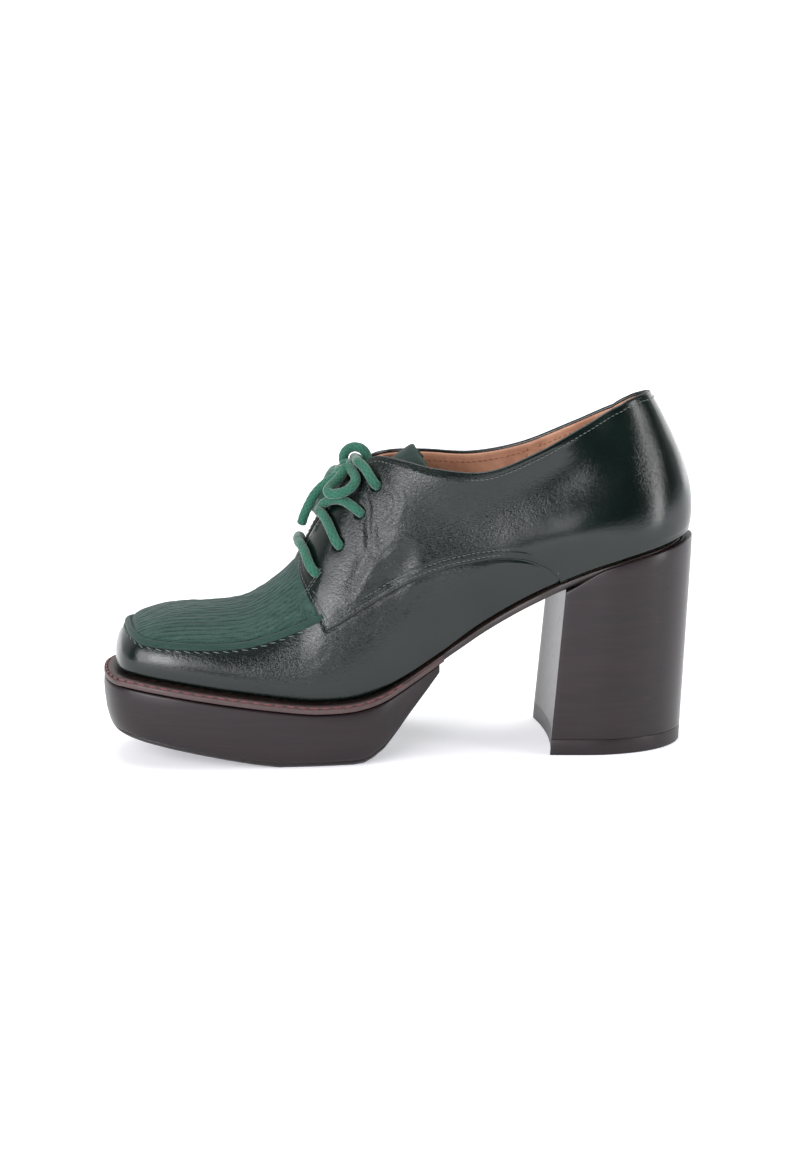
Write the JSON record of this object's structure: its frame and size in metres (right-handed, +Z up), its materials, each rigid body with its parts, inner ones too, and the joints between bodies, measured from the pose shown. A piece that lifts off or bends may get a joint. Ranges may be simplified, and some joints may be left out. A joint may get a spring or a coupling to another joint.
{
  "type": "heeled derby shoe",
  "caption": "Green leather platform derby shoe with a ribbed apron, round laces, stitched welt and a tall block heel.",
  "frame": {"origin": "middle of the shoe's box seen from above, on the floor it stands on", "axes": "+X from toe to heel along the longest side, +Y to the outer (lateral) side, +Z up"},
  "size_m": [0.2402, 0.0862, 0.1444],
  "materials": {
    "green_leather": "glossy",
    "tongue_suede": "matte",
    "tan_leather": "satin",
    "welt_leather": "satin",
    "sole_edge": "satin",
    "dark_wood": "satin",
    "top_lift": "satin",
    "lace": "matte"
  },
  "bodies": {
    "root": {"upper": "green_leather", "tongue": "tongue_suede", "insole": "tan_leather", "welt": "welt_leather", "sole_sheet": "sole_edge", "platform": "dark_wood", "heel_block": "dark_wood", "top_lift": "top_lift", "lace_bar_low": "lace", "lace_crossing": "lace", "lace_bar_top": "lace", "lace_knot": "lace", "lace_loop_near": "lace", "lace_loop_far": "lace", "lace_end_near": "lace", "lace_end_far": "lace"}
  },
  "joints": []
}
